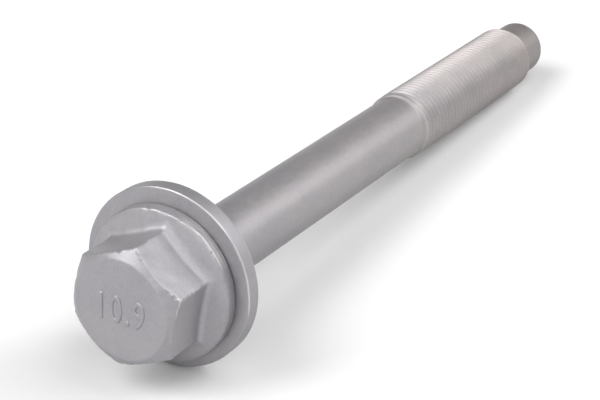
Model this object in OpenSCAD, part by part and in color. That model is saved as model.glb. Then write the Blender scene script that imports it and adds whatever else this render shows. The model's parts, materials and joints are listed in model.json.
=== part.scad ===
// Hexagon flange bolt with a captive plain washer, lying on its side.
// The bolt is one forging: hexagon head, conical flange, reduced shank,
// rolled thread and a plain dog point. The washer is loose on the shank
// and can't come off, because its bore is smaller than the thread.
// The bolt lies on the washer's rim and on the end of its thread.

/* [Head] */
// Width of the hexagon across its flats
head_af = 17; // [14:0.1:19]
// Height of the head above the flange's bearing face
head_h = 11.4; // [8:0.1:14]
// Depth of the chamfer at the hexagon's corners
head_chamfer = 1.55; // [0.6:0.05:2.2]
// Distance from the hexagon's sides in to the flat on top of the head
head_flat_inset = 0.75; // [0.2:0.05:2]
// Turn of the hexagon about the bolt's axis, away from corner up
head_turn = 8.9; // [0:0.1:60]

/* [Flange] */
// Diameter of the flange
flange_d = 24; // [20:0.1:26]
// Height of the flange at its rim
flange_rim_h = 2.2; // [1.2:0.05:2.8]
// Slope of the flange's upper face, in degrees
flange_slope = 16; // [5:1:25]
// Radius of the flange's rim edges
flange_edge = 0.4; // [0.1:0.05:0.5]

/* [Shank and thread] */
// Diameter of the reduced shank
shank_d = 11.1; // [9.5:0.1:11.3]
// Length of the shank, from the flange to the thread
shank_len = 70; // [20:1:160]
// Radius of the fillet under the flange
shank_fillet = 0.6; // [0.2:0.05:0.7]
// Largest diameter of the thread
thread_d = 12; // [11.9:0.05:13]
// Length of the thread with its run-out
thread_len = 44.4; // [20:0.1:120]
// Length of the run-out, where the shank widens to the thread
runout_len = 5; // [2:0.5:10]
// Share of the widening that the first half of the run-out takes
runout_share = 0.75; // [0.5:0.05:0.95]
// Length of the chamfer at the end of the thread
thread_chamfer = 1.1; // [0.5:0.1:3]

/* [Dog point] */
// Diameter of the dog point
dog_d = 9.95; // [6:0.05:10.2]
// Length of the dog point past the end of the thread
dog_len = 8.75; // [4:0.05:16]
// Radius of the dog point's rounded end
dog_round = 1.6; // [0.4:0.1:2.8]

/* [Washer] */
// Outer diameter of the washer
washer_d = 28.2; // [25:0.1:36]
// Thickness of the washer
washer_t = 2.6; // [1.6:0.1:4]
// Diameter of the washer's bore
washer_bore = 11.85; // [11.5:0.05:11.85]
// Radius of the washer's rim edges
washer_edge = 0.4; // [0.1:0.05:0.7]
// Chamfer at both ends of the washer's bore
bore_chamfer = 0.75; // [0.7:0.05:0.78]

/* [Clearances] */
// Gap between the flange and the washer
seat_gap = 0.05; // [0.02:0.01:0.3]
// Gap between the shank and the bore where the shank hangs in it
hang_gap = 0.03; // [0.02:0.01:0.1]

/* [Hidden] */
$fn = 96;
steel = [0.67, 0.66, 0.67];
washer_steel = [0.63, 0.62, 0.63];
eps = 0.01;

// Heights along the bolt's axis: 0 is the flange's bearing face, and the tip is up
corner_r = head_af / sqrt(3);
flat_r = head_af / 2 - head_flat_inset;
corner_z = -head_h + head_chamfer;
slope_top_z = -flange_rim_h - (flange_d / 2 - head_af / 2) * tan(flange_slope);
thread_end_z = shank_len + thread_len;
dog_start_z = thread_end_z + thread_chamfer;
tip_z = thread_end_z + dog_len;
// The run-out is steep over its first half and nearly full over the rest
runout_mid_z = shank_len + runout_len / 2;
runout_mid_r = shank_d / 2 + (thread_d - shank_d) / 2 * runout_share;

// The shank hangs on the lower side of the bore, so the washer sits this far above the axis
washer_rise = (washer_bore - shank_d) / 2 - hang_gap;
washer_end_z = seat_gap + washer_t;

// The floor touches the washer's rounded rim edge and the last full turn of the thread
rim_drop = washer_d / 2 - washer_rise - washer_edge;
contact_dx = rim_drop - thread_d / 2;
contact_dz = thread_end_z - washer_end_z + washer_edge;
contact_span = sqrt(contact_dx * contact_dx + contact_dz * contact_dz);
lying_tilt = atan2(contact_dx, contact_dz) + asin(washer_edge / contact_span);
lying_lift = thread_d / 2 * cos(lying_tilt) + thread_end_z * sin(lying_tilt);

// Farthest points of the tip and the head along the floor, and the middle between them
tip_x = (dog_d / 2 - dog_round) * sin(lying_tilt) + (tip_z - dog_round) * cos(lying_tilt) + dog_round;
head_x = -flat_r * sin(lying_tilt) - head_h * cos(lying_tilt);
middle_x = (tip_x + head_x) / 2;

// Lays a piece down: its own +Z becomes the bolt's axis, towards +X and a little down
module lying() {
    translate([-middle_x, 0, lying_lift])
        rotate([0, 90 + lying_tilt, 0])
            children();
}

// Half section of a disc from z0 up, with both rim edges rounded
module disc_section(radius, z0, height, edge) {
    translate([0, z0])
        square([radius - edge, height]);
    translate([0, z0 + edge])
        square([radius, height - 2 * edge]);
    for (z = [z0 + edge, z0 + height - edge])
        translate([radius - edge, z])
            circle(edge);
}

// Half section of a concave fillet between a post and the plate at z = 0 below it
module fillet_section(post_r, radius) {
    difference() {
        translate([post_r - eps, -eps])
            square([radius + eps, radius + eps]);
        translate([post_r + radius, radius])
            circle(radius);
    }
}

// The part of the hexagon above the flange, cut back by a cone at its top
module hexagon() {
    intersection() {
        translate([0, 0, -head_h])
            cylinder(r = corner_r, h = head_h - flange_rim_h / 2, $fn = 6);
        rotate_extrude()
            polygon([
                [0, -head_h],
                [flat_r, -head_h],
                [corner_r, corner_z],
                [corner_r + head_chamfer, corner_z],
                [corner_r + head_chamfer, 0],
                [0, 0]
            ]);
    }
}

module flange() {
    rotate_extrude() {
        disc_section(flange_d / 2, -flange_rim_h, flange_rim_h, flange_edge);
        polygon([
            [0, -flange_rim_h],
            [flange_d / 2 - flange_edge, -flange_rim_h],
            [head_af / 2, slope_top_z],
            [0, slope_top_z]
        ]);
    }
}

// Shank, run-out, thread at its largest diameter, end chamfer and dog point
module stem() {
    rotate_extrude() {
        polygon([
            [0, -eps],
            [shank_d / 2, -eps],
            [shank_d / 2, shank_len],
            [runout_mid_r, runout_mid_z],
            [thread_d / 2, shank_len + runout_len],
            [thread_d / 2, thread_end_z],
            [dog_d / 2, dog_start_z],
            [dog_d / 2, tip_z - dog_round],
            [dog_d / 2 - dog_round, tip_z - dog_round],
            [dog_d / 2 - dog_round, tip_z],
            [0, tip_z]
        ]);
        translate([dog_d / 2 - dog_round, tip_z - dog_round])
            circle(dog_round);
        fillet_section(shank_d / 2, shank_fillet);
    }
}

module bolt() {
    color(steel)
        lying() {
            rotate([0, 0, head_turn])
                hexagon();
            flange();
            stem();
        }
}

module washer() {
    color(washer_steel)
        lying()
            translate([-washer_rise, 0, 0])
                rotate_extrude()
                    difference() {
                        disc_section(washer_d / 2, seat_gap, washer_t, washer_edge);
                        translate([0, seat_gap - eps])
                            square([washer_bore / 2, washer_t + 2 * eps]);
                        for (side = [0, 1])
                            translate([washer_bore / 2, seat_gap + side * washer_t])
                                rotate(45)
                                    square(bore_chamfer * sqrt(2), center = true);
                    }
}

bolt();
washer();
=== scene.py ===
"""A hexagon flange bolt with a captive washer: its finished surfaces and the studio round it."""
import json
import math
import random
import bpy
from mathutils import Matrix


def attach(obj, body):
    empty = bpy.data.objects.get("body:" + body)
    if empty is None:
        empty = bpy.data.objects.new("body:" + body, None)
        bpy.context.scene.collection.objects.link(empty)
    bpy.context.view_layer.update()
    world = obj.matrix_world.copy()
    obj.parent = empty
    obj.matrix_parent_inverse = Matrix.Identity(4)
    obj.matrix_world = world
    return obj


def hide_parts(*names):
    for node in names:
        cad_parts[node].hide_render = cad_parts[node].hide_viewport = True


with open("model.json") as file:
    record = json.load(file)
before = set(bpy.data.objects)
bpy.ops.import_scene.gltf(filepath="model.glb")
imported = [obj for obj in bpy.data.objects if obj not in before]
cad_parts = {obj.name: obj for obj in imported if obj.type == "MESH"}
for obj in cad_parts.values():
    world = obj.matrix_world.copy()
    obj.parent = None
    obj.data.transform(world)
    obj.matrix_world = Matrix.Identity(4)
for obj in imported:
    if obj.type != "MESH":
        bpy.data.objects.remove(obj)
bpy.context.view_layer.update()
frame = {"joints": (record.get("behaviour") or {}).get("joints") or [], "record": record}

from types import SimpleNamespace

import bmesh
import bpy
import numpy as np
from mathutils import Matrix, Vector

bl_info = {
    "name": "Flange Bolt With Captive Washer",
    "version": (1, 0, 0),
    "blender": (4, 5, 0),
    "location": "3D View > Sidebar > Flange Bolt",
    "description": "Models a long hexagon flange bolt, its captive washer and a plain studio",
    "category": "Object",
}

# One millimetre in the frame's metres. Pieces are modelled in millimetres about the bolt's axis, with
# heights from the bearing face, above 0 towards the thread and below it in the head. Then they are
# laid down in metres.
MM = 0.001
FULL_TURN = 2 * math.pi
SIXTH_TURN = FULL_TURN / 6

# Where the bolt lies, read from the frame: its mounts, its axis and the washer's place on it
MOUNTS = {mount["name"]: mount for mount in frame["record"]["mounts"]}
JOINT = frame["joints"][0]
AXIS = Vector(JOINT["axis"]).normalized()
ACROSS = Vector((0, 1, 0))
DOWN = ACROSS.cross(AXIS)
HEAD_TOP = Vector(MOUNTS["hex_drive"]["pos_m"])
WASHER_CENTRE = Vector(JOINT["pos_m"])


def pin_diameter(mount):
    """Diameter of a pin mount in millimetres."""
    return 2 * MOUNTS[mount]["dims"]["r_mm"]


def length(name, description, size):
    """A length that a user can change: given here in millimetres and stored in metres."""
    return bpy.props.FloatProperty(
        name=name, description=description, default=size * MM, min=0, subtype="DISTANCE",
        unit="LENGTH", precision=5)


def angle(name, description, degrees):
    """An angle that a user can change: given here in degrees and stored in radians."""
    return bpy.props.FloatProperty(
        name=name, description=description, default=math.radians(degrees),
        subtype="ANGLE", unit="ROTATION")


def colour(name, description, default):
    """A colour that a user can change."""
    return bpy.props.FloatVectorProperty(
        name=name, description=description, default=default, size=3, min=0, max=1, subtype="COLOR")


def fraction(name, description, default):
    """A share from 0 to 1 that a user can change."""
    return bpy.props.FloatProperty(
        name=name, description=description, default=default, min=0, max=1, subtype="FACTOR")


class BoltSizes(bpy.types.PropertyGroup):
    head_height: length("Head height", "From the bearing face to the top of the head", 11.4)
    across_flats: length("Across flats", "Width of the hexagon", 17)
    chamfer_height: length("Chamfer height", "Depth of the chamfer at the corners", 1.55)
    flat_inset: length("Flat inset", "From the hexagon's sides in to the flat on top", 0.75)
    root_fillet: length("Root fillet", "Reach of the fillet between hexagon and flange", 1.0)
    head_turn: angle("Head turn", "Turn of the hexagon about the bolt's axis", 8.9)
    flange_diameter: length("Flange diameter", "Diameter of the flange", 24)
    rim_height: length("Rim height", "Height of the flange at its rim", 2.2)
    flange_slope: angle("Flange slope", "Slope of the flange's upper face", 16)
    rim_edge: length("Rim edge", "Radius of the flange's rim edges", 0.3)
    shank_diameter: length("Shank diameter", "Diameter of the reduced shank", 11.1)
    shank_length: length("Shank length", "From the flange to the thread", 70)
    shank_fillet: length("Shank fillet", "Fillet under the flange", 0.6)
    thread_diameter: length("Thread diameter", "Largest diameter", pin_diameter("thread"))
    pitch: length("Pitch", "Distance from one thread crest to the next", 1.25)
    thread_depth: length("Thread depth", "From the crests down to the roots", 0.7)
    runout: length("Run-out", "Length over which the thread rises to its full size", 4.6)
    first_ridge: length("First ridge", "Step up where the thread begins", 0.38)
    thread_chamfer: length("Thread chamfer", "Length of the chamfer at the end", 1.1)
    dog_diameter: length("Dog diameter", "Diameter of the dog point", pin_diameter("dog_point"))
    dog_round: length("Dog rounding", "Radius of the rounded end", 1.6)
    skin: length("Skin cell", "Cell size of the head's forged skin", 0.18)


class WasherSizes(bpy.types.PropertyGroup):
    diameter: length("Diameter", "Outer diameter of the washer", 28.2)
    thickness: length("Thickness", "Thickness of the washer", 2.6)
    bore: length("Bore", "Diameter of the hole", 11.85)
    rim_edge: length("Rim edge", "Radius of the rim's edges", 0.22)
    bore_chamfer: length("Bore chamfer", "Chamfer at both ends of the bore", 0.75)


class MarkSettings(bpy.types.PropertyGroup):
    text: bpy.props.StringProperty(
        name="Numerals", description="Plain strength numerals on the head", default="10.9")
    height: length("Height", "Height of the numerals", 4.4)
    width: length("Width", "Width of the whole line", 7.8)
    shift: length("Shift", "How far the line's middle lies off the axis", 0.28)
    rise: length("Rise", "How far they stand proud of the head", 0.2)


class FinishSettings(bpy.types.PropertyGroup):
    bolt_coat: colour("Bolt coat", "Zinc flake coating on the bolt", (0.383, 0.372, 0.379))
    washer_coat: colour("Washer coat", "Zinc flake coating on the washer", (0.375, 0.366, 0.372))
    # The rubbed colour also serves as a painted highlight on the edges that face the light
    rubbed_and_highlight: colour("Rubbed edge", "Where handling has rubbed the coating bright", (0.62, 0.61, 0.61))
    roughness: fraction("Roughness", "Roughness of the coating", 0.46)
    flake: length("Flake", "Size of the coating's flakes", 0.22)
    # Edge wear and its painted highlight are strongest on the side at this turn, which is turned up and
    # to the front, where the light falls
    worn_and_lit_side: angle("Worn side", "Turn about the bolt's axis of the side that is rubbed most", 220)


class StudioSettings(bpy.types.PropertyGroup):
    floor_colour: colour("Floor", "Colour of the floor", (0.93, 0.93, 0.93))
    floor_bounce: colour(
        "Floor bounce", "Colour that the floor throws back on the bolt", (0.22, 0.22, 0.22))
    sky: fraction("Sky", "Strength of the surround above the horizon", 0.05)
    focal_length: bpy.props.FloatProperty(
        name="Focal length", description="Of the camera, for a 36 mm wide sensor",
        default=109.35, min=1, unit="CAMERA")
    camera_dip: angle("Camera dip", "How far the camera looks down", 28.076)
    camera_heading: angle("Camera heading", "From the bolt's direction to its left", 30.814)
    camera_place: bpy.props.FloatVectorProperty(
        name="Camera place", description="Where the camera stands", size=3,
        default=(-0.24084, -0.13298, 0.14822), subtype="TRANSLATION", unit="LENGTH")


def in_mm(group):
    """The sizes of a property group, with its lengths in millimetres."""
    sizes = SimpleNamespace()
    for key, prop in group.bl_rna.properties.items():
        if prop.type == "FLOAT" and prop.unit == "LENGTH" and not prop.is_array:
            setattr(sizes, key, getattr(group, key) / MM)
        elif key not in ("rna_type", "name"):
            setattr(sizes, key, getattr(group, key))
    return sizes


def along(mount):
    """Distance of a mount's middle from the top of the head, along the axis in millimetres."""
    return (Vector(MOUNTS[mount]["pos_m"]) - HEAD_TOP).dot(AXIS) / MM


def pin_end(mount, b):
    """Height at which a pin mount ends."""
    return along(mount) + MOUNTS[mount]["dims"]["length_mm"] / 2 - b.head_height


# In mm: points closer together than the first are one, and an edge closer to a height than the
# second is at that height
WELD = 0.004
LEVEL = 0.01

# Steps round each body of revolution, each turn of the thread and the washer
LATHE_STEPS = 128
THREAD_STEPS = 96
WASHER_STEPS = 240

# Steps along the arcs of an outline: a rim's rounded edge, the shank's fillet and the rounded tip
RIM_STEPS = 6
FILLET_STEPS = 5
TIP_STEPS = 9

# Edges that turn by less than this, in degrees, are shaded smooth
SMOOTH_ANGLE = 38


def start_clear():
    """Object mode, with nothing selected."""
    if bpy.context.mode != "OBJECT":
        bpy.ops.object.mode_set(mode="OBJECT")
    bpy.ops.object.select_all(action="DESELECT")


def select_only(piece):
    """Object mode, with this piece alone selected and active."""
    start_clear()
    piece.select_set(True)
    bpy.context.view_layer.objects.active = piece


def edit(piece, level="VERT"):
    """Edit mode on one piece, with nothing selected."""
    select_only(piece)
    bpy.ops.object.mode_set(mode="EDIT")
    bpy.ops.mesh.select_mode(type=level)
    bpy.ops.mesh.select_all(action="DESELECT")


def done():
    """Back to object mode."""
    bpy.ops.object.mode_set(mode="OBJECT")


def pick_rims(piece, test):
    """Selects the open edges whose middle passes the test, in edit mode."""
    mesh = bmesh.from_edit_mesh(piece.data)
    picked = 0
    for edge in mesh.edges:
        middle = (edge.verts[0].co + edge.verts[1].co) / 2
        if edge.is_boundary and test(middle):
            edge.select_set(True)
            picked += 1
    if picked == 0:
        raise RuntimeError(f"{piece.name} has no open edge there")
    bmesh.update_edit_mesh(piece.data)


def apply_modifier(piece, kind, **settings):
    """Adds a modifier to the piece, sets it and applies it."""
    select_only(piece)
    bpy.ops.object.modifier_add(type=kind)
    modifier = piece.modifiers[-1]
    for key, value in settings.items():
        setattr(modifier, key, value)
    bpy.ops.object.modifier_apply(modifier=modifier.name)


def combine(piece, other, operation):
    """Cuts, joins or intersects a piece with another one, which is used up."""
    apply_modifier(piece, "BOOLEAN", operation=operation, object=other, solver="EXACT")
    bpy.data.objects.remove(other)


def coordinates(piece):
    """The piece's vertices as an array with one row each."""
    places = np.empty(len(piece.data.vertices) * 3)
    piece.data.vertices.foreach_get("co", places)
    return places.reshape(-1, 3)


def vertex_normals(piece):
    """The piece's vertex normals as an array with one row each."""
    normals = np.empty(len(piece.data.vertices) * 3)
    piece.data.vertices.foreach_get("normal", normals)
    return normals.reshape(-1, 3)


def set_coordinates(piece, places):
    """Moves the piece's vertices to these places."""
    piece.data.vertices.foreach_set("co", places.ravel())
    piece.data.update()


def store(piece, name, values):
    """Stores one number for each vertex, where a material can read it."""
    attribute = piece.data.attributes.new(name, "FLOAT", "POINT")
    attribute.data.foreach_set("value", values.astype(np.float32))


def smooth_step(value, low, high):
    """0 below low, 1 above high, and a soft rise between them."""
    part = np.clip((value - low) / (high - low), 0, 1)
    return part * part * (3 - 2 * part)


def arc(centre, radius, start, end, steps):
    """Points of an arc in an outline, in degrees from the first axis, both ends included."""
    points = []
    for step in range(steps + 1):
        a = math.radians(start + (end - start) * step / steps)
        points.append((centre[0] + radius * math.cos(a), centre[1] + radius * math.sin(a)))
    return points


def outline(name, points):
    """Draws a chain of edges through points given as (radius, height), by extruding a vertex."""
    start_clear()
    bpy.ops.mesh.primitive_plane_add(size=1, location=(0, 0, 0))
    piece = bpy.context.object
    piece.name = name
    bpy.ops.object.mode_set(mode="EDIT")
    bpy.ops.mesh.select_mode(type="VERT")
    bpy.ops.mesh.select_all(action="SELECT")
    bpy.ops.mesh.merge(type="CENTER")
    here = Vector((points[0][0], 0, points[0][1]))
    bpy.ops.transform.translate(value=here)
    for radius, height in points[1:]:
        there = Vector((radius, 0, height))
        bpy.ops.mesh.extrude_vertices_move(TRANSFORM_OT_translate={"value": there - here})
        here = there
    done()
    return piece


def lathe(name, points, steps):
    """A body of revolution about the bolt's axis, from an outline in millimetres."""
    piece = outline(name, points)
    edit(piece)
    bpy.ops.mesh.select_all(action="SELECT")
    bpy.ops.mesh.spin(steps=steps, angle=FULL_TURN, center=(0, 0, 0), axis=(0, 0, 1))
    bpy.ops.mesh.select_all(action="SELECT")
    bpy.ops.mesh.remove_doubles(threshold=WELD)
    bpy.ops.mesh.normals_make_consistent(inside=False)
    done()
    return piece


def bisect(piece, height, side):
    """Cuts the piece off at a height and leaves it open there: side 1 clears what is above."""
    edit(piece)
    bpy.ops.mesh.select_all(action="SELECT")
    bpy.ops.mesh.bisect(
        plane_co=(0, 0, height), plane_no=(0, 0, 1), clear_outer=side > 0, clear_inner=side < 0)
    bpy.ops.mesh.select_all(action="SELECT")
    bpy.ops.mesh.remove_doubles(threshold=WELD)
    done()


def pull_rim(piece, height, steps):
    """Extrudes the open rim at a height through (move, scale) steps, and stays in edit mode."""
    edit(piece, "EDGE")
    pick_rims(piece, lambda middle: abs(middle.z - height) < LEVEL)
    for move, scale in steps:
        bpy.ops.mesh.extrude_region_move(TRANSFORM_OT_translate={"value": (0, 0, move)})
        if scale != 1:
            bpy.ops.transform.resize(value=(scale, scale, 1), center_override=(0, 0, 0))


def lay_down(piece, name, offset=0.0):
    """Turns a finished piece into the frame, in metres. The offset, in mm, is across the axis."""
    bearing = HEAD_TOP + AXIS * bpy.context.scene.bolt_sizes.head_height
    turn = Matrix((DOWN, ACROSS, AXIS)).transposed().to_4x4()
    place = Matrix.Translation(bearing) @ turn @ Matrix.Scale(MM, 4)
    select_only(piece)
    piece.matrix_world = place @ Matrix.Translation((offset, 0, 0))
    bpy.ops.object.transform_apply(location=True, rotation=True, scale=True)
    piece.name = piece.data.name = name


def finish_piece(piece, material):
    """Gives the piece its one material and smooth shading."""
    piece.data.materials.clear()
    piece.data.materials.append(material)
    select_only(piece)
    bpy.ops.object.shade_smooth_by_angle(angle=math.radians(SMOOTH_ANGLE))


# Heights in mm: the head's skin is cut off at the first, the stem starts at the second, and the gap is
# bridged, hidden in the washer's bore. Both lie below the third, the end of the shank's stub that the
# head is modelled with.
HEAD_CUT = 1.2
STEM_START = 1.9
STUB = 3

# Rounds of smoothing that soften the forged edges, and the depth and size of the skin's waves, in mm.
# The bearing face stays flat: the waves start this far from it in the head and are full after a fade.
FORGED_ROUNDS = 5
WAVE_DEPTH = 0.10
WAVE_SIZE = 2.6
WAVE_START = 0.3
WAVE_FADE = 0.5

# Dents round the flange's rim and by each of the hexagon's corners: how many there are, and their
# radius and depth in mm, each from the least to the most
RIM_NICKS = (26, (0.315, 0.9), (0.03, 0.1))
CORNER_NICKS = (5, (0.3, 0.7), (0.03, 0.1))
CHAMFER_NICKS = (6, (0.25, 0.6), (0.03, 0.09))

# In mm: how far the rim's dents lie from its edge on the head's side, and how far clear of that edge
# the dents on the hexagon's edges stay
RIM_NICK_DROP = 0.1
CORNER_NICK_CLEAR = 2

# How far, in radians about the axis, a dent on the chamfer may lie from the hexagon's corner, and how
# much nearer to the flange it lies for each mm farther out
CHAMFER_SPREAD = 0.45
CHAMFER_FALL = 0.75


def hexagon(b):
    """The head's hexagon, chamfered by a cone."""
    corner = b.across_flats / math.sqrt(3)
    bottom = -b.rim_height / 2
    top = -b.head_height
    start_clear()
    bpy.ops.mesh.primitive_cylinder_add(
        vertices=6, radius=corner, depth=bottom - top, location=(0, 0, (top + bottom) / 2),
        rotation=(0, 0, SIXTH_TURN / 2 + b.head_turn))
    head = bpy.context.object
    bpy.ops.object.transform_apply(location=True, rotation=True, scale=True)
    flat = b.across_flats / 2 - b.flat_inset
    outside = corner + b.chamfer_height
    cone = lathe("chamfer_cone", [
        (0, top), (flat, top), (corner, top + b.chamfer_height),
        (outside, top + b.chamfer_height), (outside, 0), (0, 0)], LATHE_STEPS)
    combine(head, cone, "INTERSECT")
    return head


def flange(b):
    """The sloping flange with its rounded rim, the bearing face and the start of the shank."""
    rim = b.flange_diameter / 2
    edge = b.rim_edge
    shank = b.shank_diameter / 2
    slope_top = -b.rim_height - (rim - b.across_flats / 2) * math.tan(b.flange_slope)
    slope = math.degrees(b.flange_slope)
    points = [(0, slope_top), (b.across_flats / 2, slope_top)]
    points += arc((rim - edge, -b.rim_height + edge), edge, -90 + slope, 0, RIM_STEPS)
    points += arc((rim - edge, -edge), edge, 0, 90, RIM_STEPS)
    fillet = b.shank_fillet
    points += arc((shank + fillet, fillet), fillet, -90, -180, FILLET_STEPS)
    points += [(shank, STUB), (0, STUB)]
    return lathe("flange", points, LATHE_STEPS)


def root_distances(places, b):
    """How far each place is off the hexagon's nearest side and off the flange's slope, and which side."""
    x, y, z = places.T
    facing = b.head_turn + SIXTH_TURN / 2 + np.arange(6) * SIXTH_TURN
    beyond = np.outer(x, np.cos(facing)) + np.outer(y, np.sin(facing)) - b.across_flats / 2
    level = -b.rim_height - (b.flange_diameter / 2 - np.hypot(x, y)) * math.tan(b.flange_slope)
    return beyond.max(1), (level - z) * math.cos(b.flange_slope), facing[beyond.argmax(1)]


def fill_root(head, b):
    """Raises a fillet where the hexagon's sides meet the flange's slope."""
    places = coordinates(head)
    x, y, z = places.T
    reach = np.hypot(x, y)
    off_side, off_slope, side = root_distances(places, b)
    near = np.clip(1 - np.abs(off_side - off_slope) / b.root_fillet, 0, 1)
    near[z > -b.rim_height] = 0
    side_normal = np.column_stack((np.cos(side), np.sin(side), np.zeros(len(side))))
    lean = math.sin(b.flange_slope) / np.maximum(reach, WELD)
    slope_normal = np.column_stack((lean * x, lean * y, np.full(len(x), -math.cos(b.flange_slope))))
    part = np.where(off_side < off_slope, 1 - near / 2, near / 2)[:, None]
    outward = part * side_normal + (1 - part) * slope_normal
    short = near ** 2 * b.root_fillet / 4 - np.minimum(off_side, off_slope)
    lift = np.where(near > 0, np.maximum(short, 0), 0) / (outward ** 2).sum(1)
    set_coordinates(head, places + lift[:, None] * outward)


def weigh(piece, name, weights):
    """Stores the weights over 0.01 of the vertices, as a vertex group."""
    group = piece.vertex_groups.new(name=name)
    for index in np.flatnonzero(weights > 0.01):
        group.add([int(index)], float(weights[index]), "REPLACE")
    return name


def make_uneven(piece, group):
    """Waves the skin a little, as forging and tumbling leave it."""
    texture = bpy.data.textures.new("unevenness", "CLOUDS")
    texture.noise_scale = WAVE_SIZE
    apply_modifier(piece, "DISPLACE", texture=texture, texture_coords="LOCAL", strength=WAVE_DEPTH,
                   mid_level=0.5, vertex_group=group)


def round_place(radius, turn, height):
    """A place at this radius, turn and height about the bolt's axis."""
    return radius * math.cos(turn), radius * math.sin(turn), height


def rim_place(chance, b):
    """A place on the side of the flange's rim."""
    turn = chance.uniform(0, FULL_TURN)
    return round_place(b.flange_diameter / 2, turn, -b.rim_height + RIM_NICK_DROP)


def corner_place(chance, b, turn):
    """A place along the hexagon's edge at this turn."""
    height = chance.uniform(-b.head_height + b.chamfer_height, -b.rim_height - CORNER_NICK_CLEAR)
    return round_place(b.across_flats / math.sqrt(3), turn, height)


def chamfer_place(chance, b, turn):
    """A place on the head's chamfer, near the hexagon's corner at this turn."""
    lean = turn + chance.uniform(-CHAMFER_SPREAD, CHAMFER_SPREAD)
    reach = b.across_flats / 2 / math.cos((lean - turn) % SIXTH_TURN - SIXTH_TURN / 2)
    height = -b.head_height + (reach - b.across_flats / 2 + b.flat_inset) * CHAMFER_FALL
    return round_place(reach, lean, height)


def scatter(chance, nicks, place, *about):
    """Dents of one sort as (place, radius, depth), each at a place that the function finds."""
    count, radii, depths = nicks
    return [(place(chance, *about), chance.uniform(*radii), chance.uniform(*depths))
            for _ in range(count)]


def head_nicks(b):
    """Handling marks on the flange's rim and the hexagon's edges."""
    chance = random.Random(12)
    nicks = scatter(chance, RIM_NICKS, rim_place, b)
    for side in range(6):
        turn = b.head_turn + side * SIXTH_TURN
        nicks += scatter(chance, CORNER_NICKS, corner_place, b, turn)
        nicks += scatter(chance, CHAMFER_NICKS, chamfer_place, b, turn)
    return nicks


def dent(piece, nicks):
    """Pushes small dents into the skin: each is (place, radius, depth) in millimetres."""
    places = coordinates(piece)
    normals = vertex_normals(piece)
    for place, radius, depth in nicks:
        apart = np.linalg.norm(places - np.array(place), axis=1)
        inside = apart < radius
        fall = (1 - (apart[inside] / radius) ** 2) ** 2
        inward = -normals[inside].mean(0)
        places[inside] += inward / np.linalg.norm(inward) * (depth * fall)[:, None]
    set_coordinates(piece, places)


def forged_head(b):
    """Hexagon and flange in one skin with soft forged edges, open below inside the washer."""
    head = hexagon(b)
    combine(head, flange(b), "UNION")
    apply_modifier(head, "REMESH", mode="VOXEL", voxel_size=b.skin, adaptivity=0)
    fill_root(head, b)
    apply_modifier(head, "SMOOTH", factor=0.5, iterations=FORGED_ROUNDS)
    height = coordinates(head)[:, 2]
    group = weigh(head, "outside", np.clip(-(height + WAVE_START) / WAVE_FADE, 0, 1))
    make_uneven(head, group)
    dent(head, head_nicks(b))
    bisect(head, HEAD_CUT, 1)
    return head


# In mm past the end of the shank: where the first ridge starts to rise and where it stands, where the
# thread's rise to its full size starts, and where its grooves reach their full depth
RIDGE_START = 0.75
RIDGE_END = 1.3
RISE_START = 1
GROOVES_FULL = 3

# The screw surface runs this far past both ends of the thread, in mm, and starts this many pitches
# lower still, so that it is whole where it is cut off
THREAD_MARGIN = 0.5
SPARE_PITCHES = 1.1

# One side of a thread groove, from crest to root: share of the pitch and share of the depth
GROOVE_SIDE = ((0, 0), (0.07, 0.05), (0.14, 0.2), (0.34, 0.8), (0.42, 0.96))

# Rings of faces along the shank and along the plain dog point, and the rings on its flat end, as
# shares of the flat's radius
SHANK_ROWS = 40
DOG_ROWS = 4
TIP_RINGS = (0.75, 0.5, 0.25, 0.05)


def thread_profile(b):
    """One pitch of the rolled thread as (radius, height) points, from crest to crest."""
    shape = list(GROOVE_SIDE) + [(0.5, 1)]
    shape += [(1 - part, drop) for part, drop in reversed(GROOVE_SIDE)]
    crest = b.thread_diameter / 2
    return [(crest - drop * b.thread_depth, part * b.pitch) for part, drop in shape]


def fade_thread(thread, b):
    """Fades the thread in over its run-out and cuts its end down to the dog point by a chamfer."""
    places = coordinates(thread)
    height = places[:, 2]
    reach = np.hypot(places[:, 0], places[:, 1])
    crest = b.thread_diameter / 2
    shank = b.shank_diameter / 2
    dog = b.dog_diameter / 2
    past = height - b.shank_length
    ridge = shank + b.first_ridge * smooth_step(past, RIDGE_START, RIDGE_END)
    rise = (crest - shank - b.first_ridge) * smooth_step(past, RISE_START, b.runout)
    depth = (crest - reach) * smooth_step(past, RIDGE_END, GROOVES_FULL)
    beyond = height - pin_end("thread", b)
    end = np.clip(crest - beyond * (crest - dog) / b.thread_chamfer, dog, crest)
    new = np.minimum(ridge + rise - depth, end)
    places[:, 0] *= new / reach
    places[:, 1] *= new / reach
    set_coordinates(thread, places)


def rolled_thread(b, low, high):
    """The thread as a screw surface from low to high, open at both ends."""
    first = low - SPARE_PITCHES * b.pitch
    turns = math.ceil((high - first) / b.pitch) + 1
    thread = outline("thread", [(r, z + first) for r, z in thread_profile(b)])
    apply_modifier(thread, "SCREW", axis="Z", angle=FULL_TURN, screw_offset=b.pitch,
                   steps=THREAD_STEPS, render_steps=THREAD_STEPS, iterations=turns,
                   use_merge_vertices=False)
    edit(thread)
    bpy.ops.mesh.select_all(action="SELECT")
    bpy.ops.mesh.remove_doubles(threshold=WELD)
    done()
    fade_thread(thread, b)
    bisect(thread, low, -1)
    bisect(thread, high, 1)
    return thread


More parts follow.
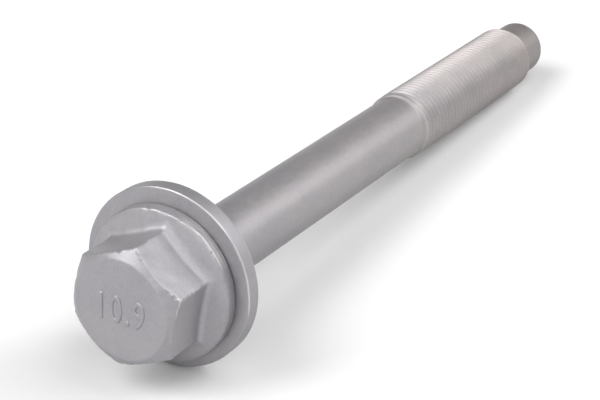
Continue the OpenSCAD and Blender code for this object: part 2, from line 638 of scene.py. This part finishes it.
def stem(b):
    """Thread, plain shank and dog point in one open tube."""
    low = b.shank_length - THREAD_MARGIN
    high = pin_end("thread", b) + b.thread_chamfer + THREAD_MARGIN
    tube = rolled_thread(b, low, high)
    pull_rim(tube, low, [((STEM_START - low) / SHANK_ROWS, 1)] * SHANK_ROWS)
    tip = pin_end("dog_point", b)
    steps = [((tip - high) / DOG_ROWS, 1)] * DOG_ROWS
    flat = b.dog_diameter / 2 - b.dog_round
    nose = arc((flat, tip), b.dog_round, 0, 90, TIP_STEPS)
    nose += [(flat * part, tip + b.dog_round) for part in TIP_RINGS]
    for (r0, z0), (r1, z1) in zip(nose, nose[1:]):
        steps.append((z1 - z0, r1 / r0))
    pull_rim(tube, high, steps)
    bpy.ops.mesh.merge(type="CENTER")
    done()
    return tube


def forging(b):
    """The whole bolt: the head's skin bridged to the stem, as one closed mesh."""
    head = forged_head(b)
    tube = stem(b)
    select_only(head)
    tube.select_set(True)
    bpy.ops.object.join()
    edit(head, "EDGE")
    pick_rims(head, lambda middle: middle.z < STUB)
    bpy.ops.mesh.bridge_edge_loops()
    bpy.ops.mesh.select_all(action="SELECT")
    bpy.ops.mesh.normals_make_consistent(inside=False)
    done()
    return head


# Shares of the edge wear and its painted highlight: the least that any side takes, and what the thread
# and the tip take of theirs. Then the strength of the scuffs and their painted highlight on the flange's
# rim.
LEAST_WEAR = 0.35
THREAD_WEAR = 0.3
RIM_SCUFF_AND_HIGHLIGHT = 0.42

# How squarely a vertex faces the worn and lit side, turned up and to the front where the light falls,
# where the wear and its painted highlight start and are full, all over and on the rim
WORN_AND_LIT_FACING = (0.1, 0.6)
SCUFFED_AND_LIT_FACING = (0.8, 0.97)

# Length in mm over which the turn of an edge is measured, on the big pieces and on the numerals
BEND_LENGTH = 0.5
NUMERAL_BEND_LENGTH = 0.22

# How much lighter than the rest of the coat, or darker if below 0, the thread, the tip and the
# hexagon's root are. The lightening of the thread and the root is painted light, which stands in for the
# light that they catch.
THREAD_PAINTED_LIGHT = 0.19
TIP_TONE = -0.25
ROOT_PAINTED_HIGHLIGHT = 0.22

# In mm past the end of the shank: where the thread's painted light begins and where it is full
TONE_START = 0.6
TONE_FULL = 1.0

# The root's painted highlight is full within the first share of the fillet's reach and gone past the
# second
ROOT_HIGHLIGHT_REACH = (0.25, 0.8)


def facing_worn_and_lit_side(piece, finish):
    """How squarely each vertex faces the worn and lit side, from -1 to 1."""
    return vertex_normals(piece) @ np.array(round_place(1, finish.worn_and_lit_side, 0))


def wear_and_highlight_share(piece, finish):
    """How much of the wear and painted highlight each vertex takes: most where it faces the side turned
    up and to the front, where the light falls, and a little elsewhere.
    """
    return LEAST_WEAR + (1 - LEAST_WEAR) * smooth_step(facing_worn_and_lit_side(piece, finish), *WORN_AND_LIT_FACING)


def rim_scuffs_and_highlight(piece, b, finish):
    """Scuffs on the side of the flange's rim, where it has slid against other bolts, with a painted
    highlight: they lie only where the rim faces the light.
    """
    places = coordinates(piece)
    rim = b.flange_diameter / 2
    on_rim = smooth_step(np.hypot(places[:, 0], places[:, 1]), rim - b.rim_edge, rim - b.rim_edge / 3)
    return RIM_SCUFF_AND_HIGHLIGHT * on_rim * smooth_step(facing_worn_and_lit_side(piece, finish), *SCUFFED_AND_LIT_FACING)


def edge_bend(piece):
    """How sharply the surface turns outwards at each vertex, per millimetre, evened out a little."""
    mesh = piece.data
    places = coordinates(piece)
    normals = vertex_normals(piece)
    ends = np.empty(len(mesh.edges) * 2, np.int64)
    mesh.edges.foreach_get("vertices", ends)
    a, b = ends.reshape(-1, 2).T
    count = len(places)
    step = places[b] - places[a]
    size = np.maximum((step ** 2).sum(1), 1e-9)
    bend = np.bincount(a, -(normals[a] * step).sum(1) / size, count)
    bend += np.bincount(b, (normals[b] * step).sum(1) / size, count)
    near = np.maximum(np.bincount(a, minlength=count) + np.bincount(b, minlength=count), 1)
    bend /= near
    for _ in range(2):
        total = np.bincount(a, bend[b], count) + np.bincount(b, bend[a], count)
        bend = (bend + total / near) / 2
    return bend


def mark_wear_and_highlight(piece, bend_length, share, scuffs_and_highlight=0):
    """Stores the edge wear and painted highlight of each vertex: how sharply it turns outwards, times its
    share, or its scuffs.
    """
    worn = np.clip(edge_bend(piece) * bend_length, -1, 1) * share
    store(piece, "edge", np.maximum(worn, scuffs_and_highlight))


def mark_tone_and_painted_light(piece, b):
    """Stores the coat's tone with painted light: lighter on the thread and at the hexagon's root, where
    painted light stands in for the light they catch, and duller at the tip.
    """
    places = coordinates(piece)
    height = places[:, 2]
    thread_end = pin_end("thread", b)
    # Painted light: the thread is made lighter, standing in for the light it catches
    on_thread = smooth_step(height - b.shank_length, TONE_START, TONE_FULL)
    past = smooth_step(height, thread_end, thread_end + b.thread_chamfer)
    off_side, off_slope, _ = root_distances(places, b)
    off_root = np.maximum(np.abs(off_side), np.abs(off_slope)) / b.root_fillet
    # Painted highlight: the hexagon's root is made lighter, standing in for the light its fillet catches
    root_highlight = 1 - smooth_step(off_root, *ROOT_HIGHLIGHT_REACH)
    store(piece, "tone_and_painted_light", THREAD_PAINTED_LIGHT * (on_thread - past) + TIP_TONE * past + ROOT_PAINTED_HIGHLIGHT * root_highlight)


class Nodes:
    """Builds a shader tree node by node."""

    def __init__(self, tree):
        self.tree = tree
        tree.nodes.clear()

    def feed(self, socket, value):
        """Links a socket to another node's output, or sets its own value."""
        if isinstance(value, bpy.types.NodeSocket):
            self.tree.links.new(value, socket)
        else:
            socket.default_value = value

    def add(self, kind, settings=None, **inputs):
        made = self.tree.nodes.new(kind)
        for key, value in (settings or {}).items():
            setattr(made, key, value)
        for key, value in inputs.items():
            self.feed(made.inputs[key.replace("_", " ")], value)
        return made

    def attribute(self, name):
        return self.add("ShaderNodeAttribute", {"attribute_name": name}).outputs["Fac"]

    def noise(self, place, size, detail, roughness):
        made = self.add(
            "ShaderNodeTexNoise", Vector=place, Scale=1 / size, Detail=detail, Roughness=roughness)
        return made.outputs["Fac"]

    def range(self, value, from_min, from_max, to_min, to_max, smooth=False):
        made = self.add(
            "ShaderNodeMapRange", {"interpolation_type": "SMOOTHSTEP" if smooth else "LINEAR"},
            Value=value, From_Min=from_min, From_Max=from_max, To_Min=to_min, To_Max=to_max)
        return made.outputs["Result"]

    def vary(self, noise, spread, low, high):
        """Stretches the noise within a spread of its middle to a value from low to high."""
        return self.range(noise, 0.5 - spread, 0.5 + spread, low, high)

    def math(self, operation, first, second):
        made = self.add("ShaderNodeMath", {"operation": operation})
        self.feed(made.inputs[0], first)
        self.feed(made.inputs[1], second)
        return made.outputs[0]

    def blend(self, part, first, second, mode="MIX"):
        made = self.add("ShaderNodeMix", {"data_type": "RGBA", "blend_type": mode})
        for name, value in (("Factor", part), ("A", first), ("B", second)):
            socket = [s for s in made.inputs if s.name == name and s.enabled][0]
            self.feed(socket, value)
        return [s for s in made.outputs if s.enabled][0]


# Sizes of the coating's patterns in metres: clouds, worn patches, mottle and streaks round the bolt
CLOUD = 9 * MM
PATCH = 4 * MM
MOTTLE = 1.1 * MM
STREAK = 5 * MM

# Strengths of the bumps that the mottle and the grain make, and their heights in metres
MOTTLE_BUMP = 0.35
MOTTLE_RISE = 0.03 * MM
GRAIN_BUMP = 0.5
GRAIN_RISE = 0.012 * MM

# Strength of the wear and painted highlight at which the coat starts to be made bright, and at which it
# is fully so
RUBBED_AND_HIGHLIGHT_FROM = 0.12
RUBBED_AND_HIGHLIGHT_FULL = 0.55

# How far the coat's roughness wanders, how much smoother it is where rubbed, and its share of metal
ROUGHNESS_SPREAD = 0.06
RUBBED_POLISH = 0.12
METAL_SHARE = 0.45

# The coating's colour drifts from the first of these at the head to the second at the tip: a painted lamp
# tint, cool at the head and warm at the tip
PAINTED_COOL_LIGHT = (0.985, 0.985, 1.03, 1)
PAINTED_WARM_LIGHT = (1.055, 0.995, 0.955, 1)


def opaque(rgb):
    """A colour with full alpha, as a shader's socket takes it."""
    return tuple(rgb) + (1,)


def coat_colour(nodes, place, coat, cloud, mottle, grain):
    """The coat's colour: cloudy, mottled and grained, in its own tone with the painted light of the
    thread and root, and with a painted lamp tint that drifts along the bolt.
    """
    cloudy = nodes.vary(cloud, 0.2, 0.95, 1.05)
    mottled = nodes.vary(mottle, 0.25, 0.95, 1.05)
    light = nodes.math("MULTIPLY", cloudy, mottled)
    light = nodes.math("MULTIPLY", light, nodes.vary(grain, 0.3, 0.9, 1.1))
    # Tone with painted light: the thread and the hexagon's root are made lighter
    light = nodes.math("MULTIPLY", light, nodes.math("ADD", nodes.attribute("tone_and_painted_light"), 1))
    grey = nodes.add("ShaderNodeCombineColor", Red=light, Green=light, Blue=light).outputs[0]
    sideways = nodes.add("ShaderNodeSeparateXYZ", Vector=place).outputs["X"]
    light_tint_drift = nodes.range(sideways, HEAD_TOP.x, -HEAD_TOP.x, 0, 1)
    light_tint_drift = nodes.math("ADD", light_tint_drift, nodes.vary(cloud, 0.2, -0.2, 0.2))
    tinted = nodes.blend(1.0, opaque(coat), nodes.blend(light_tint_drift, PAINTED_COOL_LIGHT, PAINTED_WARM_LIGHT), "MULTIPLY")
    return nodes.blend(1.0, tinted, grey, "MULTIPLY")


def rubbed_and_highlight_share(nodes, place, finish):
    """How far the coat is made bright: rubbed on worn edges, with a painted highlight on the side facing
    the light, in patches and in streaks round the bolt.
    """
    patches = nodes.noise(place, PATCH, 3, 0.6)
    chips = nodes.math("MULTIPLY", nodes.attribute("edge"), nodes.vary(patches, 0.2, 0.55, 1.25))
    round_axis = nodes.add(
        "ShaderNodeMapping", {"vector_type": "TEXTURE"}, Vector=place,
        Rotation=(0, math.asin(-AXIS.z), 0), Scale=(finish.flake, STREAK, STREAK))
    streaks = nodes.noise(round_axis.outputs["Vector"], 1, 2, 0.6)
    chips = nodes.math("MULTIPLY", chips, nodes.vary(streaks, 0.2, 0.3, 1.6))
    return nodes.range(chips, RUBBED_AND_HIGHLIGHT_FROM, RUBBED_AND_HIGHLIGHT_FULL, 0, 1, smooth=True)


def zinc_flake(name, coat, finish):
    """A matt silver-grey flake coating, cloudy and finely grained, rubbed bright on its edges with a
    painted highlight on the side facing the light, and tinted with a painted lamp colour.
    """
    material = bpy.data.materials.new(name)
    material.use_nodes = True
    nodes = Nodes(material.node_tree)
    place = nodes.add("ShaderNodeTexCoord").outputs["Object"]
    cloud = nodes.noise(place, CLOUD, 4, 0.55)
    mottle = nodes.noise(place, MOTTLE, 3, 0.6)
    grain = nodes.noise(place, finish.flake, 2, 0.6)
    rubbed_and_highlight = rubbed_and_highlight_share(nodes, place, finish)
    base = nodes.blend(
        rubbed_and_highlight, coat_colour(nodes, place, coat, cloud, mottle, grain), opaque(finish.rubbed_and_highlight))
    rough = nodes.vary(
        mottle, 0.3, finish.roughness - ROUGHNESS_SPREAD, finish.roughness + ROUGHNESS_SPREAD)
    rough = nodes.math("SUBTRACT", rough, nodes.math("MULTIPLY", rubbed_and_highlight, RUBBED_POLISH))
    dapple = nodes.add("ShaderNodeBump", Strength=MOTTLE_BUMP, Distance=MOTTLE_RISE, Height=mottle)
    relief = nodes.add(
        "ShaderNodeBump", Strength=GRAIN_BUMP, Distance=GRAIN_RISE, Height=grain,
        Normal=dapple.outputs["Normal"])
    shader = nodes.add(
        "ShaderNodeBsdfPrincipled", Base_Color=base, Metallic=METAL_SHARE, Roughness=rough,
        Normal=relief.outputs["Normal"])
    nodes.add("ShaderNodeOutputMaterial", Surface=shader.outputs["BSDF"])
    return material


class FLANGE_BOLT_OT_forging(bpy.types.Operator):
    """Models the bolt: forged head and flange, shank, rolled thread and dog point"""
    bl_idname = "flange_bolt.forging"
    bl_label = "Bolt Forging"
    bl_options = {"REGISTER", "UNDO"}

    def execute(self, context):
        scene = context.scene
        sizes = in_mm(scene.bolt_sizes)
        piece = forging(sizes)
        finish = scene.finish_settings
        # Edge wear on the side facing the light is partly a painted highlight, and so are the rim's
        # scuffs
        wear_and_highlight = wear_and_highlight_share(piece, finish)
        wear_and_highlight[coordinates(piece)[:, 2] > sizes.shank_length] *= THREAD_WEAR
        mark_wear_and_highlight(piece, BEND_LENGTH, wear_and_highlight, rim_scuffs_and_highlight(piece, sizes, finish))
        mark_tone_and_painted_light(piece, sizes)
        lay_down(piece, "bolt_forging")
        finish_piece(piece, zinc_flake("bolt_zinc_flake", finish.bolt_coat, finish))
        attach(piece, "bolt")
        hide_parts("bolt")
        return {"FINISHED"}


# Spacing of the numerals, the cell size of their skin in mm, and rounds of smoothing on it
NUMERAL_SPACING = 1.15
NUMERAL_SKIN = 0.06
NUMERAL_ROUNDS = 3


def lettering(mark):
    """The numerals as a rounded skin of the size asked for, flat on the ground."""
    start_clear()
    bpy.ops.object.text_add(location=(0, 0, 0))
    piece = bpy.context.object
    text = piece.data
    text.body = mark.text
    text.align_x = "CENTER"
    text.align_y = "CENTER"
    text.size = mark.height
    text.extrude = mark.rise
    text.bevel_depth = mark.rise
    text.bevel_resolution = 1
    text.offset = -mark.rise / 2
    text.space_character = NUMERAL_SPACING
    bpy.ops.object.convert(target="MESH")
    places = coordinates(piece)
    low, high = places.min(0), places.max(0)
    size = np.array((mark.width, mark.height, high[2] - low[2]))
    set_coordinates(piece, (places - (low + high) / 2) / (high - low) * size)
    apply_modifier(piece, "REMESH", mode="VOXEL", voxel_size=NUMERAL_SKIN, adaptivity=0)
    apply_modifier(piece, "SMOOTH", factor=0.5, iterations=NUMERAL_ROUNDS)
    return piece


def numerals(b, mark):
    """The numerals on the top of the head, upright when the bolt lies down."""
    piece = lettering(mark)
    x, y, z = coordinates(piece).T
    sunk = z.max() - mark.rise
    set_coordinates(piece, np.column_stack((-y, -x - mark.shift, -b.head_height - z + sunk)))
    return piece


class FLANGE_BOLT_OT_numerals(bpy.types.Operator):
    """Raises plain strength numerals on the top of the head"""
    bl_idname = "flange_bolt.numerals"
    bl_label = "Strength Numerals"
    bl_options = {"REGISTER", "UNDO"}

    def execute(self, context):
        scene = context.scene
        piece = numerals(in_mm(scene.bolt_sizes), in_mm(scene.mark_settings))
        # Painted highlight: the numerals' edges that face up towards the light are made bright, along
        # with their wear
        mark_wear_and_highlight(piece, NUMERAL_BEND_LENGTH, wear_and_highlight_share(piece, scene.finish_settings))
        lay_down(piece, "grade_numerals")
        finish_piece(piece, bpy.data.materials["bolt_zinc_flake"])
        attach(piece, "bolt")
        return {"FINISHED"}


# Longest stretch of the washer's outline between two rings of its vertices, in mm
WASHER_CELL = 0.45


def subdivided(points, cell):
    """The same outline with its long stretches cut into pieces of about one cell."""
    result = [points[0]]
    for start, end in zip(points, points[1:]):
        across, up = end[0] - start[0], end[1] - start[1]
        cuts = max(1, round(math.hypot(across, up) / cell))
        for cut in range(1, cuts + 1):
            result.append((start[0] + across * cut / cuts, start[1] + up * cut / cuts))
    return result


def washer(w, seat):
    """A stamped ring with rounded rim edges and a chamfered bore. Its far face is at seat."""
    rim = w.diameter / 2
    edge = w.rim_edge
    bore = w.bore / 2
    cut = w.bore_chamfer
    near = seat - w.thickness
    points = [(bore, near + cut), (bore + cut, near)]
    points += arc((rim - edge, near + edge), edge, -90, 0, RIM_STEPS)
    points += arc((rim - edge, seat - edge), edge, 0, 90, RIM_STEPS)
    points += [(bore + cut, seat), (bore, seat - cut), (bore, near + cut)]
    return lathe("washer", subdivided(points, WASHER_CELL), WASHER_STEPS)


class FLANGE_BOLT_OT_washer(bpy.types.Operator):
    """Models the loose washer that the rolled thread keeps on the shank"""
    bl_idname = "flange_bolt.washer"
    bl_label = "Captive Washer"
    bl_options = {"REGISTER", "UNDO"}

    def execute(self, context):
        scene = context.scene
        seat = along("seat") - in_mm(scene.bolt_sizes).head_height
        piece = washer(in_mm(scene.washer_sizes), seat)
        finish = scene.finish_settings
        # Edge wear on the washer, with a painted highlight on the side facing the light
        mark_wear_and_highlight(piece, BEND_LENGTH, wear_and_highlight_share(piece, finish))
        lay_down(piece, "captive_washer", (WASHER_CENTRE - HEAD_TOP).dot(DOWN) / MM)
        finish_piece(piece, zinc_flake("washer_zinc_flake", finish.washer_coat, finish))
        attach(piece, "washer")
        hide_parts("washer")
        return {"FINISHED"}


# The floor's size in metres, its roughness, and the lamps' distance in metres, far enough off to light
# the floor evenly
FLOOR_SIZE = 6
PAPER_ROUGHNESS = 0.9
LAMP_DISTANCE = 4

# The surround is white below the first of these heights and dim above the second. The height is the
# upward part of the direction of view: 0 at the horizon and 1 straight up.
HORIZON_WHITE = 0.02
HORIZON_DIM = 0.14

# Each lamp: bearing from +X towards +Y and rise over the floor in degrees, size in metres, watts
LAMPS = {
    "key_lamp": (135, 50, 2.5, 92),
    "left_lamp": (155, 35, 3.0, 33),
    "low_lamp": (185, 18, 2.5, 33),
    "front_lamp": (225, 40, 2.5, 37),
    "side_lamp": (315, 33, 3.0, 82),
    "top_lamp": (290, 62, 2.5, 48),
}

# Width of the camera's sensor in mm, and the nearest and farthest distance that it sees, in metres
SENSOR_WIDTH = 36
NEAREST = 0.01
FARTHEST = 20


def seen_rays(nodes):
    """1 for the rays that show a surface to the camera, directly, mirrored or through glass."""
    rays = nodes.add("ShaderNodeLightPath").outputs
    seen = nodes.math("ADD", rays["Is Camera Ray"], rays["Is Glossy Ray"])
    return nodes.math("ADD", seen, rays["Is Transmission Ray"])


def floor(studio):
    """A sheet of pale paper. It throws less light back on the bolt than its colour shows."""
    start_clear()
    bpy.ops.mesh.primitive_plane_add(size=FLOOR_SIZE, location=(0, 0, 0))
    ground = bpy.context.object
    ground.name = "floor"
    material = bpy.data.materials.new("floor_paper")
    material.use_nodes = True
    nodes = Nodes(material.node_tree)
    paper = nodes.blend(seen_rays(nodes), opaque(studio.floor_bounce), opaque(studio.floor_colour))
    shader = nodes.add("ShaderNodeBsdfPrincipled", Base_Color=paper, Roughness=PAPER_ROUGHNESS)
    nodes.add("ShaderNodeOutputMaterial", Surface=shader.outputs["BSDF"])
    ground.data.materials.append(material)


def backdrop(studio):
    """A plain surround: white at the horizon, where it shows behind the bolt, and dim above it."""
    world = bpy.data.worlds.new("studio")
    bpy.context.scene.world = world
    world.use_nodes = True
    nodes = Nodes(world.node_tree)
    direction = nodes.add("ShaderNodeTexCoord").outputs["Generated"]
    height = nodes.add("ShaderNodeSeparateXYZ", Vector=direction).outputs["Z"]
    shown = nodes.range(height, HORIZON_WHITE, HORIZON_DIM, 1, studio.sky, smooth=True)
    strength = nodes.range(seen_rays(nodes), 0, 1, studio.sky, shown)
    surround = nodes.add("ShaderNodeBackground", Color=(1, 1, 1, 1), Strength=strength)
    nodes.add("ShaderNodeOutputWorld", Surface=surround.outputs["Background"])


def pointing(bearing, rise):
    """The direction with this bearing from +X towards +Y and this rise over the floor."""
    return Vector((
        math.cos(bearing) * math.cos(rise), math.sin(bearing) * math.cos(rise), math.sin(rise)))


def lamp(name, bearing, rise, size, power):
    """A soft square lamp, turned to the bolt."""
    start_clear()
    away = pointing(math.radians(bearing), math.radians(rise))
    bpy.ops.object.light_add(type="AREA", location=away * LAMP_DISTANCE)
    light = bpy.context.object
    light.name = name
    light.data.size = size
    light.data.energy = power
    light.rotation_euler = away.to_track_quat("Z", "Y").to_euler()
    light.visible_camera = False


def camera(studio):
    """The camera at the photograph's angle, level and unshifted."""
    start_clear()
    ahead = pointing(studio.camera_heading, -studio.camera_dip)
    bpy.ops.object.camera_add(location=studio.camera_place)
    eye = bpy.context.object
    eye.rotation_euler = ahead.to_track_quat("-Z", "Y").to_euler()
    eye.data.lens = studio.focal_length
    eye.data.sensor_width = SENSOR_WIDTH
    eye.data.clip_start = NEAREST
    eye.data.clip_end = FARTHEST
    bpy.context.scene.camera = eye


class FLANGE_BOLT_OT_studio(bpy.types.Operator):
    """Lays the floor, hangs the lamps and places the camera"""
    bl_idname = "flange_bolt.studio"
    bl_label = "Studio"
    bl_options = {"REGISTER", "UNDO"}

    def execute(self, context):
        studio = context.scene.studio_settings
        floor(studio)
        backdrop(studio)
        for name, settings in LAMPS.items():
            lamp(name, *settings)
        camera(studio)
        context.scene.view_settings.view_transform = "Standard"
        return {"FINISHED"}


SETTINGS = {
    "bolt_sizes": BoltSizes,
    "mark_settings": MarkSettings,
    "washer_sizes": WasherSizes,
    "finish_settings": FinishSettings,
    "studio_settings": StudioSettings,
}
OPERATORS = (
    FLANGE_BOLT_OT_forging,
    FLANGE_BOLT_OT_numerals,
    FLANGE_BOLT_OT_washer,
    FLANGE_BOLT_OT_studio,
)

# The steps of the build in order, each after the settings that it is the first to read
STEPS = (
    (("bolt_sizes", "finish_settings"), "flange_bolt.forging"),
    (("mark_settings",), "flange_bolt.numerals"),
    (("washer_sizes",), "flange_bolt.washer"),
    (("studio_settings",), "flange_bolt.studio"),
)


class FLANGE_BOLT_PT_panel(bpy.types.Panel):
    """Sizes, finishes and the steps of the build"""
    bl_label = "Flange Bolt"
    bl_idname = "FLANGE_BOLT_PT_panel"
    bl_space_type = "VIEW_3D"
    bl_region_type = "UI"
    bl_category = "Flange Bolt"

    def draw(self, context):
        for groups, step in STEPS:
            box = self.layout.box()
            for group in groups:
                settings = getattr(context.scene, group)
                for key in SETTINGS[group].__annotations__:
                    box.prop(settings, key)
            box.operator(step)


def register():
    for key, group in SETTINGS.items():
        bpy.utils.register_class(group)
        setattr(bpy.types.Scene, key, bpy.props.PointerProperty(type=group))
    for operator in OPERATORS:
        bpy.utils.register_class(operator)
    bpy.utils.register_class(FLANGE_BOLT_PT_panel)


def unregister():
    bpy.utils.unregister_class(FLANGE_BOLT_PT_panel)
    for operator in reversed(OPERATORS):
        bpy.utils.unregister_class(operator)
    for key, group in SETTINGS.items():
        delattr(bpy.types.Scene, key)
        bpy.utils.unregister_class(group)


def main():
    register()
    bpy.ops.flange_bolt.forging()
    bpy.ops.flange_bolt.numerals()
    bpy.ops.flange_bolt.washer()
    bpy.ops.flange_bolt.studio()


if __name__ == "__main__":
    main()
